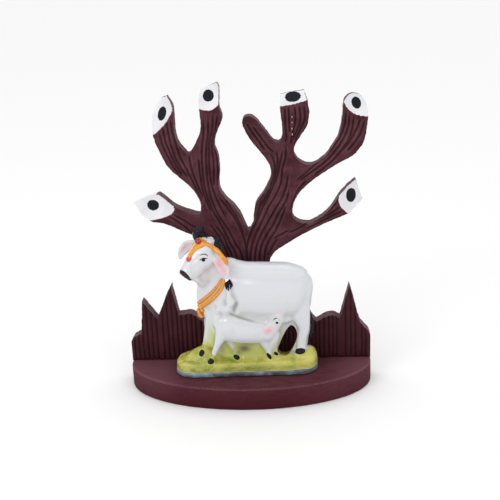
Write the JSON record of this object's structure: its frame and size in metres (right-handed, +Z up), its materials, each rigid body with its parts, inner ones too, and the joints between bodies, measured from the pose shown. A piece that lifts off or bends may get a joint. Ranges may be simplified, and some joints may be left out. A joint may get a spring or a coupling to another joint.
{
  "type": "cow and calf statue on a half-round base",
  "caption": "Glossy cast cow suckling her calf on a green mound, on a half-round base in front of a grooved tree board with white sawn bough ends.",
  "frame": {"origin": "centre of the box's underside, on the surface that the base stands on", "axes": "+Z up, +X to the right of a viewer who faces the figure, -Y towards that viewer"},
  "size_m": [0.23, 0.075, 0.2866],
  "materials": {
    "base": "matte dark maroon-brown paint",
    "tree_board": "matte dark maroon-brown paint over carved grooves, with white painted bough ends",
    "cow_and_calf": "glossy white enamel on cast resin, with green turf, black hooves and gold bands"
  },
  "bodies": {
    "root": {"base": "base", "tree_board": "tree_board", "cow_and_calf": "cow_and_calf"}
  },
  "joints": []
}
